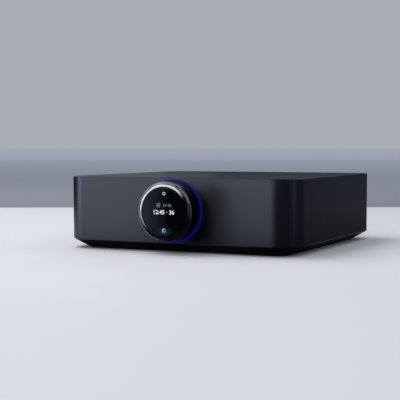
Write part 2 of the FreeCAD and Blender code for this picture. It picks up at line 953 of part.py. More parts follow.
def make_panel():
    panel = upright_plate(-panel_half, panel_half, shell_bottom, panel_top, 2.0, panel_back, panel_face)
    put("rear_panel", panel.cut(socket_holes()))


def make_inlet():
    face = outward(inlet_flange)
    back = inlet_back
    body = upright_plate(
        inlet_x - inlet_width / 2,
        inlet_x + inlet_width / 2,
        inlet_z - inlet_height / 2,
        inlet_z + inlet_height / 2,
        3.0,
        panel_face,
        face,
    )
    body = body.fuse(
        block(
            inlet_x - inlet_body_width / 2,
            inlet_x + inlet_body_width / 2,
            back,
            panel_face,
            inlet_z - inlet_body_height / 2,
            inlet_z + inlet_body_height / 2,
        )
    )
    w, h, c = inlet_cavity_width / 2, inlet_cavity_height / 2, inlet_corner_cut
    corners = [(-w, -h), (w, -h), (w, h - c), (w - c, h), (c - w, h), (-w, h - c)]
    cavity = prism_y([(inlet_x + x, inlet_z + z) for x, z in corners], face - inlet_cavity_depth, face)
    pins = []
    slots = []
    pin_front = face - pin_setback
    floor = face - inlet_cavity_depth
    for x, z, tail in (
        (-pin_spread, -pin_drop, back - live_tail),
        (0.0, earth_rise, back - earth_tail),
        (pin_spread, -pin_drop, back - live_tail),
    ):
        half_w, half_h = pin_width / 2, pin_height / 2
        px, pz = inlet_x + x, inlet_z + z
        blade = block(px - half_w, px + half_w, tail, pin_front, pz - half_h, pz + half_h)
        leg = block(px - half_w, px + half_w, tail, tail + pin_leg, board_top, pz - half_h)
        pins.append(blade.fuse(leg))
        slots.append(block(px - half_w, px + half_w, back, floor, pz - half_h, pz + half_h))
    put("mains_inlet", body.cut([cavity] + slots))
    put("inlet_pins", *pins)


def post_stations():
    """Where the flange, washer and cap of a speaker post start, out from the panel's face."""
    flange = collar_height
    washer = flange + post_flange_height + 0.1
    cap = washer + washer_height + 0.1
    return flange, washer, cap


def make_speaker_posts():
    flange, washer, cap = post_stations()
    core_end = post_length - cap_overhang
    sides = ("right_positive", "right_negative", "left_positive", "left_negative")
    cores = []
    collars = []
    for x, side in zip(post_places, sides):
        collars.append(
            turned(
                x,
                post_z,
                [
                    (post_shaft_radius + 0.05, outward(-panel_thickness)),
                    (collar_spigot, outward(-panel_thickness)),
                    (collar_spigot, outward(0)),
                    (collar_radius, outward(0)),
                    (collar_radius, outward(collar_height - 0.6)),
                    (collar_radius - 0.6, outward(collar_height)),
                    (post_shaft_radius + 0.05, outward(collar_height)),
                ],
            )
        )
        cores.append(
            turned(
                x,
                post_z,
                [
                    (0, outward(-post_tail)),
                    (post_shaft_radius, outward(-post_tail)),
                    (post_shaft_radius, outward(flange)),
                    (post_flange_radius, outward(flange)),
                    (post_flange_radius, outward(flange + post_flange_height)),
                    (post_thread_radius, outward(flange + post_flange_height)),
                    (post_thread_radius, outward(core_end)),
                    (banana_radius, outward(core_end)),
                    (banana_radius, outward(core_end - banana_depth)),
                    (0, outward(core_end - banana_depth)),
                ],
            )
        )
        low, high = outward(washer), outward(washer + washer_height)
        put("clamp_washer_" + side, tube(x, post_z, post_thread_radius + 0.1, washer_radius, low, high))
        body = turned(
            x,
            post_z,
            [
                (post_thread_radius + 0.1, outward(cap)),
                (cap_radius - 0.5, outward(cap)),
                (cap_radius, outward(cap + 0.5)),
                (cap_radius, outward(post_length - 1.0)),
                (cap_radius - 1.0, outward(post_length)),
                (post_thread_radius + 0.1, outward(post_length)),
            ],
        )
        flutes = []
        for number in range(cap_flute_count):
            angle = 2 * math.pi * number / cap_flute_count
            reach = cap_radius + cap_flute_radius * 0.55
            flutes.append(
                rod(
                    x + reach * math.cos(angle),
                    post_z + reach * math.sin(angle),
                    cap_flute_radius,
                    outward(cap + 1.5),
                    outward(post_length + 1),
                )
            )
        put("speaker_cap_" + side, body.cut(flutes))
    put("post_cores", *cores)
    put("post_collars", *collars)


def make_ethernet():
    x, z = ethernet_x, board_top
    face = outward(socket_proud)
    half = ethernet_width / 2
    body = block(x - half, x + half, ethernet_back, face, z, z + ethernet_height)
    top = z + ethernet_height - ethernet_top_wall
    cuts = []
    for width, height in ((plug_width, plug_height), (latch_width, latch_height), (nick_width, nick_height)):
        cuts.append(block(x - width / 2, x + width / 2, face - plug_depth, face, top - height, top))
        top = top - height
    put("ethernet_socket", body.cut(cuts))


def make_flat_sockets():
    face = outward(socket_proud)
    skin = socket_skin
    half, z = usb_width / 2, board_top
    usb = block(usb_x - half, usb_x + half, face - usb_length, face, z, z + usb_height)
    inside = half - skin
    top = z + usb_height
    usb = usb.cut(block(usb_x - inside, usb_x + inside, face - usb_length + 1, face, z + skin, top - skin))
    w, h = hdmi_width / 2, hdmi_height
    cut = hdmi_height * 0.3
    corners = [(-w, h), (-w, cut), (cut - w, 0), (w - cut, 0), (w, cut), (w, h)]
    inner = [
        (skin - w, h - skin),
        (skin - w, cut + skin * 0.4),
        (cut - w + skin * 0.4, skin),
        (w - cut - skin * 0.4, skin),
        (w - skin, cut + skin * 0.4),
        (w - skin, h - skin),
    ]
    shell = prism_y([(hdmi_x + a, z + b) for a, b in corners], face - hdmi_length, face)
    shell = shell.cut(prism_y([(hdmi_x + a, z + b) for a, b in inner], face - hdmi_length + 1, face))
    put("flat_sockets", usb, shell)
    usb_tongue = block(
        usb_x - half + 1.2,
        usb_x + half - 1.2,
        face - usb_length + 1,
        face - 1.0,
        z + usb_height * 0.52,
        z + usb_height * 0.82,
    )
    hdmi_tongue = block(
        hdmi_x - w + 2.0,
        hdmi_x + w - 2.0,
        face - hdmi_length + 1,
        face - 1.5,
        z + h * 0.42,
        z + h * 0.62,
    )
    put("socket_tongues", usb_tongue, hdmi_tongue)


def shutter_axis():
    """The optical socket's shutter turns about the line along X through this y, z."""
    return outward(socket_proud) - 0.9, board_top + optical_side - optical_wall - 0.75


def make_optical():
    x, z, half = optical_x, board_top, optical_side / 2
    face = outward(socket_proud)
    pin_y, pin_z = shutter_axis()
    inner = half - optical_wall
    body = block(x - half, x + half, face - optical_length, face, z, z + optical_side)
    cavity = block(
        x - inner,
        x + inner,
        face - optical_length + 2.5,
        face,
        z + optical_wall,
        z + optical_side - optical_wall,
    )
    sockets = Part.makeCylinder(
        shutter_pin_radius + 0.05,
        2 * inner + 1.2,
        V(x - inner - 0.6, pin_y, pin_z),
        along_x,
    )
    put("optical_socket", body.cut([cavity, sockets]))
    side = inner - slot_gap
    low = z + optical_wall + slot_gap
    half_plate = shutter_thickness / 2
    plate = block(x - side, x + side, pin_y - half_plate, pin_y + half_plate, low, pin_z)
    barrel = Part.makeCylinder(0.5, 2 * side, V(x - side, pin_y, pin_z), along_x)
    pin = Part.makeCylinder(shutter_pin_radius, 2 * inner + 0.9, V(x - inner - 0.45, pin_y, pin_z), along_x)
    put("optical_shutter", plate.fuse([barrel, pin]))


def make_trigger_and_button():
    x, z = trigger_x, trigger_z
    body = block(
        x - trigger_width / 2,
        x + trigger_width / 2,
        panel_back - 13.0,
        panel_back,
        board_top,
        board_top + trigger_height,
    )
    nose = rod(x, z, trigger_nose_radius, panel_back, outward(1.0))
    put("trigger_socket", body.fuse(nose).cut(rod(x, z, trigger_bore, outward(-12.0), outward(1.0))))
    x, z = button_x, button_z
    half = switch_width / 2
    switch = block(x - half, x + half, outward(-10.5), outward(-4.5), board_top, board_top + switch_width)
    put("button_switch", switch.cut(rod(x, z, 1.3, outward(-7.2 - button_travel), outward(-4.5))))
    cap = rod(x, z, button_radius, outward(-1.8), outward(button_proud))
    stem = rod(x, z, 1.0, outward(-7.0), outward(-1.8))
    put("pairing_button", cap.fuse(stem))


def make_phono_sockets():
    blocks = []
    for x in (phono_first, phono_second):
        half = phono_block_width / 2
        top = board_top + phono_block_height
        blocks.append(block(x - half, x + half, panel_back - phono_block_depth, panel_back, board_top, top))
    inserts = []
    sleeves = []
    sleeve_inner = phono_sleeve_radius - phono_sleeve_wall
    for x, z in phono_places:
        end = phono_length - 0.4
        inserts.append(
            turned(
                x,
                z,
                [
                    (0, outward(-panel_thickness)),
                    (phono_sleeve_radius + 0.6, outward(-panel_thickness)),
                    (phono_sleeve_radius + 0.6, outward(0)),
                    (phono_collar_radius, outward(0)),
                    (phono_collar_radius, outward(phono_collar_height)),
                    (sleeve_inner - 0.05, outward(phono_collar_height)),
                    (sleeve_inner - 0.05, outward(end)),
                    (phono_bore, outward(end)),
                    (phono_bore, outward(end - phono_bore_depth)),
                    (0, outward(end - phono_bore_depth)),
                ],
            )
        )
        sleeves.append(
            turned(
                x,
                z,
                [
                    (sleeve_inner, outward(phono_collar_height)),
                    (phono_sleeve_radius, outward(phono_collar_height)),
                    (phono_sleeve_radius, outward(phono_length)),
                    (sleeve_inner, outward(phono_length)),
                ],
            )
        )
    put("phono_blocks", *blocks)
    put("phono_inserts", *inserts)
    put("phono_sleeves", *sleeves)


def drilled(board, places):
    return board.cut([post(x, y, screw_radius + thread_gap, board_bottom, board_top) for x, y in places])


def make_boards():
    main, power = standoff_places()
    board = block(main_left, main_right, main_front, main_back, board_bottom, board_top)
    put("main_board", drilled(board, main))
    wide = block(power_left, power_right, power_front, power_back, board_bottom, board_top)
    arm = block(arm_left, power_right, power_back, arm_back, board_bottom, board_top)
    put("power_board", drilled(wide.fuse(arm), power))
    terminal_back = panel_back - board_thickness
    left = post_places[-1] - terminal_margin
    right = post_places[0] + terminal_margin
    low, high = post_z - terminal_half_height, post_z + terminal_half_height
    terminal = block(left, right, terminal_back, panel_back, low, high)
    holes = [rod(x, post_z, post_shaft_radius + hole_gap, terminal_back, panel_back) for x in post_places]
    put("terminal_board", terminal.cut(holes))


def make_amplifier():
    left = main_left + standoff_inset + screw_head_radius + part_gap
    middle_x = left + heatsink_width / 2
    middle_y = main_front + heatsink_setback + heatsink_depth / 2
    chips = []
    for side in (-1, 1):
        x = middle_x + side * heatsink_width / 4
        chips.append(
            block(
                x - chip_side / 2,
                x + chip_side / 2,
                middle_y - chip_side / 2,
                middle_y + chip_side / 2,
                board_top,
                board_top + chip_height,
            )
        )
    put("amplifier_chips", *chips)
    x0, x1 = left, left + heatsink_width
    y0, y1 = middle_y - heatsink_depth / 2, middle_y + heatsink_depth / 2
    low, high = board_top + chip_height, inner_roof - slot_gap
    sink = block(x0, x1, y0, y1, low, high)
    gaps = []
    count = int((heatsink_width - fin_thickness) // fin_pitch)
    for number in range(count):
        x = x0 + fin_thickness + fin_pitch * number
        gaps.append(block(x, x + fin_pitch - fin_thickness, y0, y1, low + heatsink_base, high))
    put("amplifier_heatsink", sink.cut(gaps))
    y = inductor_front + inductor_side / 2
    half = inductor_side / 2
    coils = []
    for number in range(4):
        x = left + half + inductor_pitch * number
        outline = rounded_wire(
            lambda u, v: V(u, v, board_top), x - half, x + half, y - half, y + half, inductor_corner
        )
        coils.append(Part.Face(outline).extrude(V(0, 0, inductor_height)))
    put("output_inductors", *coils)


def make_radio():
    x1 = main_right - 2 * standoff_inset
    y0 = main_front + heatsink_setback
    top = board_top + radio_height
    put("radio_module", block(x1 - radio_width, x1, y0, y0 + radio_depth, board_top, top))
    z = inlet_z + inlet_height / 2 + part_gap
    starts = (inlet_x - part_gap / 2 - antenna_width, inlet_x + part_gap / 2)
    y = panel_back - antenna_thickness
    put("antennas", *[block(x, x + antenna_width, y, panel_back, z, z + antenna_height) for x in starts])


def make_power_parts():
    x = (power_left + power_right) / 2
    y = power_front + capacitor_setback + capacitor_radius
    pitch = 2 * capacitor_radius + part_gap
    cans = []
    for number in range(capacitor_count):
        middle = x + pitch * (number - (capacitor_count - 1) / 2)
        can = post(middle, y, capacitor_radius, board_top, board_top + capacitor_height)
        cans.append(bevelled(can, 0.8, board_top + capacitor_height))
    put("storage_capacitors", *cans)
    y = y + capacitor_radius + part_gap + winding_overhang + core_depth / 2
    z0, z1 = board_top, board_top + core_height
    half_leg = core_width * 0.15
    half_outer = core_width / 2
    y_front, y_rear = y - core_depth / 2, y + core_depth / 2
    core = block(x - half_outer, x + half_outer, y_front, y_rear, z0, z1)
    windows = []
    for side in (-1, 1):
        a, b = sorted((x + side * half_leg, x + side * (half_outer - core_bar)))
        windows.append(block(a, b, y_front, y_rear, z0 + core_bar, z1 - core_bar))
    put("transformer_core", core.cut(windows))
    half = half_outer - core_bar - winding_gap
    wound = Part.Face(
        rounded_wire(
            lambda u, v: V(u, v, z0 + core_bar + winding_gap),
            x - half,
            x + half,
            y_front - winding_overhang,
            y_rear + winding_overhang,
            4.0,
        )
    ).extrude(V(0, 0, core_height - 2 * core_bar - 2 * winding_gap))
    leg = half_leg + winding_gap
    leg_room = block(x - leg, x + leg, y_front - winding_gap, y_rear + winding_gap, z0, z1)
    put("transformer_winding", wound.cut(leg_room))


def make_mains_filter():
    """A ring coil, a box capacitor and a fuse on the power board, in front of the inlet."""
    start = V(power_right - part_gap - fuse_length, fuse_y, board_top + fuse_radius)
    fuse = Part.makeCylinder(fuse_radius, fuse_length, start, along_x)
    x = power_right - board_side_gap - filter_coil_radius
    coil_top = board_top + filter_coil_height
    coil = post(x, filter_coil_y, filter_coil_radius, board_top, coil_top)
    coil = coil.cut(post(x, filter_coil_y, filter_coil_bore, board_top, coil_top))
    x, y = arm_left + part_gap, power_back + part_gap
    box = block(x, x + filter_box_width, y, y + filter_box_depth, board_top, board_top + filter_box_height)
    put("mains_filter", coil, box, fuse)


def ribbon(x0, x1, route):
    """A flat cable of square bends. route holds (y, z) points, each run along Y or Z."""
    half = ribbon_thickness / 2
    pieces = []
    starts = [0.0] + [ribbon_bend] * (len(route) - 2) + [0.0]
    for number in range(len(route) - 1):
        (ya, za), (yb, zb) = route[number], route[number + 1]
        length = abs(yb - ya) + abs(zb - za)
        dy, dz = (yb - ya) / length, (zb - za) / length
        ya, za = ya + dy * starts[number], za + dz * starts[number]
        yb, zb = yb - dy * starts[number + 1], zb - dz * starts[number + 1]
        y0, y1 = sorted((ya, yb))
        z0, z1 = sorted((za, zb))
        across_y, across_z = half * abs(dz), half * abs(dy)
        pieces.append(block(x0, x1, y0 - across_y, y1 + across_y, z0 - across_z, z1 + across_z))
        if number + 2 < len(route):
            yc, zc = route[number + 2]
            turn = abs(yc - route[number + 1][0]) + abs(zc - route[number + 1][1])
            ey, ez = (yc - route[number + 1][0]) / turn, (zc - route[number + 1][1]) / turn
            cy, cz = yb + ey * ribbon_bend, zb + ez * ribbon_bend
            outer = Part.makeCylinder(ribbon_bend + half, x1 - x0, V(x0, cy, cz), along_x)
            inner = Part.makeCylinder(ribbon_bend - half, x1 - x0, V(x0, cy, cz), along_x)
            y_low, y_high = sorted((cy, cy + (dy - ey) * (ribbon_bend + half)))
            z_low, z_high = sorted((cz, cz + (dz - ez) * (ribbon_bend + half)))
            pieces.append(outer.cut(inner).common(block(x0, x1, y_low, y_high, z_low, z_high)))
    return pieces[0].fuse(pieces[1:])


def make_ribbons():
    floor_z = floor_top + ribbon_thickness / 2 + 0.05
    top_z = board_top + ribbon_socket_height / 2
    rise_y = main_front - board_gap + ribbon_margin
    end_y = main_front + ribbon_lead
    down_y = power_front - board_gap + ribbon_margin
    half = ribbon_width / 2
    display_route = [
        (forward(display_back), knob_z),
        (down_y, knob_z),
        (down_y, floor_z),
        (rise_y, floor_z),
        (rise_y, top_z),
        (end_y, top_z),
    ]
    x = ribbon_notch_x()
    z = lamp_ribbon_z()
    lamp_route = [
        (forward(pad_back), z),
        (down_y, z),
        (down_y, floor_z),
        (rise_y, floor_z),
        (rise_y, top_z),
        (end_y, top_z),
    ]
    pieces = [
        ribbon(knob_x - half, knob_x + half, display_route),
        ribbon(x, x + lamp_ribbon_width, lamp_route),
    ]
    y = main_front + link_setback
    left, right = main_right - link_reach, arm_left + link_reach
    sockets = [block(left, right, y, y + link_depth, board_top, board_top + link_height)]
    for x0, x1 in (
        (knob_x - half - ribbon_margin, knob_x + half + slot_gap),
        (x - slot_gap, x + lamp_ribbon_width + ribbon_margin),
    ):
        y0 = end_y - ribbon_socket_depth / 2
        room = block(x0, x1, y0, end_y, top_z - ribbon_thickness / 2, top_z + ribbon_thickness / 2)
        socket = block(x0, x1, y0, y0 + ribbon_socket_depth, board_top, board_top + ribbon_socket_height)
        sockets.append(socket.cut(room))
    put("ribbon_cables", *pieces)
    put("board_connectors", *sockets)


os.makedirs("parts", exist_ok=True)
make_shell()
make_plinth()
make_brackets()
make_feet()
make_panel()
make_rear_fasteners()
make_light_ring()
make_lamp_board()
make_case_screws(make_hub())
make_bearing()
make_volume_ring()
make_display()
make_inlet()
make_speaker_posts()
make_ethernet()
make_flat_sockets()
make_optical()
make_trigger_and_button()
make_phono_sockets()
make_boards()
make_amplifier()
make_radio()
make_power_parts()
make_mains_filter()
make_ribbons()
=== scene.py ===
import json
import math

import bpy
from mathutils import Matrix, Vector


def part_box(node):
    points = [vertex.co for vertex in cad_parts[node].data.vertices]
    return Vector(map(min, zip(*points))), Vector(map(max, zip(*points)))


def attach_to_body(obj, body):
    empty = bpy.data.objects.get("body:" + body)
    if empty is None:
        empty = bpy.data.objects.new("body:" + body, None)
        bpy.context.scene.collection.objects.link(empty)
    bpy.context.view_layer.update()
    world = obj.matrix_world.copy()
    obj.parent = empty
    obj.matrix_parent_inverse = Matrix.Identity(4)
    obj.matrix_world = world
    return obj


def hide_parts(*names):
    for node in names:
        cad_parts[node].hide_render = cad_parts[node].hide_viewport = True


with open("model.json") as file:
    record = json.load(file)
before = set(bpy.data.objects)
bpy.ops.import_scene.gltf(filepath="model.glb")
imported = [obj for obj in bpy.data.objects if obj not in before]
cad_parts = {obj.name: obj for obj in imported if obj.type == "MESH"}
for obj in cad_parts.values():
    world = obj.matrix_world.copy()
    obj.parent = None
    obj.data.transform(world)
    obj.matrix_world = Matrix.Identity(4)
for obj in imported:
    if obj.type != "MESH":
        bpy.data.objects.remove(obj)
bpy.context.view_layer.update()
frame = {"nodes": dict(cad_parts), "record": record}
bpy.ops.object.select_all(action="DESELECT")
nodes = frame["nodes"]
mm = 0.001
print("frame loaded:", len(nodes), "nodes")

# The dial's places and sizes, read from the frame
ringLow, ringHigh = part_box("volume_ring")
glassLow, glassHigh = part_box("cover_glass")
lightLow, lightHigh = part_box("light_ring")
dialX = (ringLow.x + ringHigh.x) / 2
dialZ = (ringLow.z + ringHigh.z) / 2
ringRadius = (ringHigh.x - ringLow.x) / 2
glassRadius = (glassHigh.x - glassLow.x) / 2


# Shader maths. A Wire holds one socket, and Python's operators add the Math nodes
class Wire:
    def __init__(self, tree, socket):
        self.tree, self.socket = tree, socket

    def maths(self, operation, *others):
        inputs = {0: self, **dict(enumerate(others, 1))}
        return self.tree.node("ShaderNodeMath", {"operation": operation}, inputs)

    def __add__(self, other):
        return self.maths("ADD", other)

    __radd__ = __add__

    def __mul__(self, other):
        return self.maths("MULTIPLY", other)

    __rmul__ = __mul__

    def __sub__(self, other):
        return self.maths("SUBTRACT", other)

    def __rsub__(self, other):
        return self.maths("MULTIPLY_ADD", -1.0, other)

    def __pow__(self, other):
        return self.maths("POWER", other)

    def between(self, low, high):  # 1 between two values, 0 outside them
        return self.maths("GREATER_THAN", low) * self.maths("LESS_THAN", high)


# One material: its shader, and the nodes that are wired into it
class Finish:
    def __init__(self, name, **plain):
        self.material = bpy.data.materials.new(name)
        self.material.use_nodes = True
        self.nodes, self.links = self.material.node_tree.nodes, self.material.node_tree.links
        self.shader = self.nodes["Principled BSDF"]
        for key, value in plain.items():  # what is the same all over the surface
            self.shader.inputs[key.replace("_", " ")].default_value = value
        self.place = self.node("ShaderNodeTexCoord", output=3)

    def node(self, kind, settings=None, inputs=None, output=0):  # any node: settings first, then sockets
        made = self.nodes.new(kind)
        for key, value in (settings or {}).items():
            setattr(made, key, value)
        for key, value in (inputs or {}).items():
            if isinstance(value, Wire):
                self.links.new(value.socket, made.inputs[key])
            else:
                made.inputs[key].default_value = value
        return Wire(self, made.outputs[output])

    def feed(self, socket, wire):
        self.links.new(wire.socket, self.shader.inputs[socket])

    def axis(self, number):  # one coordinate of the place, 0 to 2
        return self.node("ShaderNodeSeparateXYZ", inputs={0: self.place}, output=number)

    def vector(self, operation, first, second=(0, 0, 0), output=0):
        return self.node("ShaderNodeVectorMath", {"operation": operation}, {0: first, 1: second}, output)

    def noise(self, scale, detail=3.0, roughness=0.5, place=None):
        inputs = {"Vector": place or self.place, "Scale": scale, "Detail": detail, "Roughness": roughness}
        return self.node("ShaderNodeTexNoise", inputs=inputs)

    def cells(self, scale, randomness, **settings):
        inputs = {"Vector": self.place, "Scale": scale, "Randomness": randomness}
        return self.node("ShaderNodeTexVoronoi", settings, inputs)

    def waves(self, along, pitch):  # a sine that repeats every pitch
        return (along * (2 * math.pi / pitch)).maths("SINE")

    def stretched(self, x, y, z):  # the place, scaled along each axis
        return self.vector("MULTIPLY", self.place, (x, y, z))

    def mix(self, factor, first, second):
        return self.node("ShaderNodeMix", {"data_type": "RGBA"}, {0: factor, 6: first, 7: second}, 2)

    def bump(self, height, strength, distance):
        inputs = {"Height": height, "Strength": strength, "Distance": distance}
        self.feed("Normal", self.node("ShaderNodeBump", inputs=inputs))

    def within(self, value, low, high, toLow=0.0, toHigh=1.0):  # a range of values turned into another
        inputs = {0: value, 1: low, 2: high, 3: toLow, 4: toHigh}
        return self.node("ShaderNodeMapRange", {"clamp": True}, inputs)

    def radius(self, x, z):  # how far a point is from an axis along Y through x, z
        away = self.vector("SUBTRACT", self.place, (x, 0, z))
        return self.vector("LENGTH", self.vector("MULTIPLY", away, (1, 0, 1)), output=1)


def shade(colour, share=1.0):
    return tuple(channel * share for channel in colour[:3]) + (1.0,)


# The dial's glow: how it falls off to both sides of its brightest circle. The light guide gives it out, and
# the shell's face has it as a painted glow round the dial
glow = {
    "colour": (0.0026, 0.0038, 0.104),
    "circle": ringRadius + 1.5 * mm,
    "fade": 1.0 * mm,
    "behind": lightLow.y + 1.2 * mm,    # the shell's face has its painted glow in front of this
}


def glowShare(finish):  # 1 on the brightest circle
    away = (finish.radius(dialX, dialZ) - glow["circle"]).maths("ABSOLUTE")
    return (away * (-1 / glow["fade"])).maths("EXPONENT")


# Finishes. Each mixes a lighter and a darker shade of its colour, and varies its roughness a little
def uneven(finish, cloud, colour, spread):  # the colour, lighter and darker by the spread
    finish.feed("Base Color", finish.mix(cloud, shade(colour, 1 - spread), shade(colour, 1 + spread)))


def shine(finish, share, colour):  # gives out a share of the colour
    finish.feed("Emission Color", finish.mix(share, (0, 0, 0, 1), shade(colour)))
    finish.shader.inputs["Emission Strength"].default_value = 1.0


blasted = {"cloud": 9.0, "smudge": 26.0, "smudged": 0.03, "grained": 0.04, "relief": 0.02 * mm}


# Fine bead-blasted anodised metal, with faint smudges from handling, and where lit is set a painted blue
# glow that the face itself gives out round the dial
def blastedMetal(name, colour, roughness, grain=0.16 * mm, lit=False):
    finish = Finish(name, Metallic=1.0)
    cloud = finish.noise(blasted["cloud"], 4.0, 0.6)
    fine = finish.noise(1.0 / grain, 2.0, 0.6)
    uneven(finish, cloud * 0.7 + fine * 0.3, colour, 0.07)
    smudge = finish.within(finish.noise(blasted["smudge"], 5.0, 0.7), 0.45, 0.75)
    varied = smudge * blasted["smudged"] + (fine - 0.5) * blasted["grained"]
    finish.feed("Roughness", varied + roughness)
    finish.bump(fine, 0.10, blasted["relief"])
    if lit:  # painted glow: the face itself gives out the dial's blue glow round it
        facing = finish.axis(1).maths("LESS_THAN", glow["behind"])
        shine(finish, glowShare(finish) * facing, glow["colour"])
    return finish.material


turned = {"cloud": 60.0, "chatter": 2200.0, "relief": 0.004 * mm}


# Lathe lines round an axis along Y, across the faces and along the walls
def turnedMetal(name, colour, roughness, x, z, groove=0.22 * mm, strength=0.08):
    finish = Finish(name, Metallic=1.0)
    lines = finish.waves(finish.radius(x, z) + finish.axis(1), groove)
    chatter = finish.noise(turned["chatter"], 2.0, 0.5)
    cloud = finish.noise(turned["cloud"], 3.0, 0.5)
    uneven(finish, cloud, colour, 0.06)
    finish.feed("Roughness", cloud * 0.05 + chatter * 0.03 + roughness)
    finish.bump(lines * 0.5 + chatter, strength, turned["relief"])
    return finish.material


dial = {
    "barrel": (0.030, 0.031, 0.036),
    "barrelRoughness": 0.17,
    "nose": (0.31, 0.32, 0.34),
    "noseRoughness": 0.09,
    "rim": (0.42, 0.43, 0.45),
    "rimRoughness": 0.6,
    "coneLength": 1.3 * mm,     # from the nose's front back to the rim's bright edge
    "rimLength": 0.45 * mm,
    "groove": 0.2 * mm,
}


def dialMetal(name):  # near black barrel with lathe lines, a satin rim and a polished nose
    finish = Finish(name, Metallic=1.0)
    along = finish.axis(1)
    rimFront = ringLow.y + dial["coneLength"]
    rim = along.between(rimFront, rimFront + dial["rimLength"])
    nose = along.maths("LESS_THAN", rimFront)
    cloud = finish.noise(turned["cloud"], 3.0, 0.5)
    black = finish.mix(cloud, shade(dial["barrel"], 0.85), shade(dial["barrel"], 1.15))
    edged = finish.mix(rim, black, shade(dial["rim"]))
    finish.feed("Base Color", finish.mix(nose, edged, shade(dial["nose"])))
    base = dial["barrelRoughness"]
    polish = nose * (dial["noseRoughness"] - base) + rim * (dial["rimRoughness"] - base)
    finish.feed("Roughness", polish + cloud * 0.04 + base)
    finish.bump(finish.waves(along, dial["groove"]), 0.06, turned["relief"])
    return finish.material


halfGrain = 0.1     # what the fine marks below add to the roughness on average


# Plated or drawn metal with fine draw marks
def plainMetal(name, colour, roughness, stretch=(900.0, 60.0, 900.0)):
    finish = Finish(name, Metallic=1.0)
    drawn = finish.noise(1.0, 3.0, 0.6, finish.stretched(*stretch))
    cloud = finish.noise(140.0, 4.0, 0.6)
    finish.feed("Base Color", finish.mix(cloud, shade(colour, 0.9), shade(colour, 1.08)))
    finish.feed("Roughness", drawn * 0.14 + cloud * 0.06 + (roughness - halfGrain))
    finish.bump(drawn, 0.12, 0.02 * mm)
    return finish.material


# Moulded plastic with a spark-eroded texture
def mouldedPlastic(name, colour, roughness, grain=0.5 * mm, relief=0.03 * mm, level=0.5):
    finish = Finish(name, Specular_IOR_Level=level)
    texture = finish.cells(1.0 / grain, 1.0)
    cloud = finish.noise(35.0, 4.0, 0.6)
    uneven(finish, cloud, colour, 0.12)
    finish.feed("Roughness", cloud * 0.12 + texture * 0.08 + (roughness - halfGrain))
    finish.bump(texture, 0.25, relief)
    return finish.material


def glossPlastic(name, colour, roughness=0.22):  # smooth moulded plastic with faint flow marks
    finish = Finish(name, Specular_IOR_Level=0.5)
    flow = finish.noise(1.0, 3.0, 0.5, finish.stretched(120.0, 40.0, 120.0))
    uneven(finish, flow, colour, 0.1)
    finish.feed("Roughness", finish.noise(300.0, 3.0) * 0.08 + flow * 0.05 + roughness)
    finish.bump(flow, 0.05, 0.1 * mm)
    return finish.material


board = {
    "mask": (0.006, 0.030, 0.020),
    "track": (0.010, 0.052, 0.034),     # mask with copper under it
    "pad": (0.55, 0.42, 0.20),
    "trackScale": 260.0,
    "padScale": 210.0,
    "padSize": 0.20,                    # of a cell
}


def boardMask(name):  # solder mask over copper tracks, with bare pads
    finish = Finish(name, Specular_IOR_Level=0.5)
    tracks = finish.cells(board["trackScale"], 0.8, distance="MANHATTAN", feature="F2")
    lanes = finish.within((tracks * 14.0).maths("SINE"), 0.1, 0.3)
    dots = finish.within(finish.cells(board["padScale"], 0.75), board["padSize"], board["padSize"] - 0.03)
    green = finish.mix(lanes, shade(board["mask"]), shade(board["track"]))
    finish.feed("Base Color", finish.mix(dots, green, shade(board["pad"])))
    finish.feed("Metallic", dots * 0.9)
    finish.feed("Roughness", lanes * 0.08 + finish.noise(500.0) * 0.08 + 0.3)
    finish.bump(lanes + dots * 0.5, 0.3, 0.04 * mm)
    return finish.material


winding = {"dark": (0.30, 0.13, 0.04), "bright": (0.70, 0.36, 0.14), "turn": 1.1 * mm}


def windingTape(name):  # enamelled copper under clear tape, in turns along Z
    finish = Finish(name, Metallic=0.6)
    turns = finish.waves(finish.axis(2), winding["turn"])
    cloud = finish.noise(200.0, 3.0)
    share = turns * 0.4 + cloud * 0.4 + 0.1
    finish.feed("Base Color", finish.mix(share, shade(winding["dark"]), shade(winding["bright"])))
    finish.feed("Roughness", cloud * 0.2 + 0.25)
    finish.bump(turns, 0.5, 0.12 * mm)
    return finish.material


cable = {"groove": (0.30, 0.31, 0.32), "core": (0.62, 0.62, 0.60), "pitch": 1.0 * mm}


def flatCable(name):  # grey flat cable with its conductors showing along the run
    finish = Finish(name, Specular_IOR_Level=0.4)
    cores = finish.waves(finish.axis(0), cable["pitch"])
    finish.feed("Base Color", finish.mix(cores * 0.5 + 0.5, shade(cable["groove"]), shade(cable["core"])))
    finish.feed("Roughness", cores * 0.05 + finish.noise(400.0) * 0.1 + 0.42)
    finish.bump(cores, 0.3, 0.05 * mm)
    return finish.material


def frostedLight(name, body, ring):  # translucent guide that is lit from behind all round
    finish = Finish(name, Specular_IOR_Level=0.25)
    cloud = finish.noise(420.0, 3.0, 0.6)
    lamps = finish.noise(70.0, 2.0, 0.4) * 0.25 + 0.88
    uneven(finish, cloud, body, 0.15)
    finish.feed("Roughness", cloud * 0.12 + 0.34)
    shine(finish, glowShare(finish) * lamps if ring else lamps, glow["colour"])
    finish.bump(cloud, 0.1, 0.02 * mm)
    return finish.material


blackInk = {
    "dark": (0.0006, 0.0007, 0.0010),
    "light": (0.0016, 0.0018, 0.0024),
    "coating": (0.74, 0.83, 1.0),       # tint of what the glass reflects
    "smear": 38.0,
}


def blackGlass(name, roughness=0.09):  # cover glass printed black behind, with a bluish coating
    finish = Finish(name, Specular_IOR_Level=0.42, Specular_Tint=shade(blackInk["coating"]), IOR=1.5)
    film = finish.noise(55.0, 4.0, 0.6)
    finish.feed("Base Color", finish.mix(film, shade(blackInk["dark"]), shade(blackInk["light"])))
    smear = finish.within(finish.noise(blackInk["smear"], 5.0, 0.7), 0.55, 0.8)
    finish.feed("Roughness", film * 0.03 + smear * 0.05 + roughness)
    finish.bump(finish.noise(24.0, 2.0), 0.02, 0.1 * mm)
    return finish.material


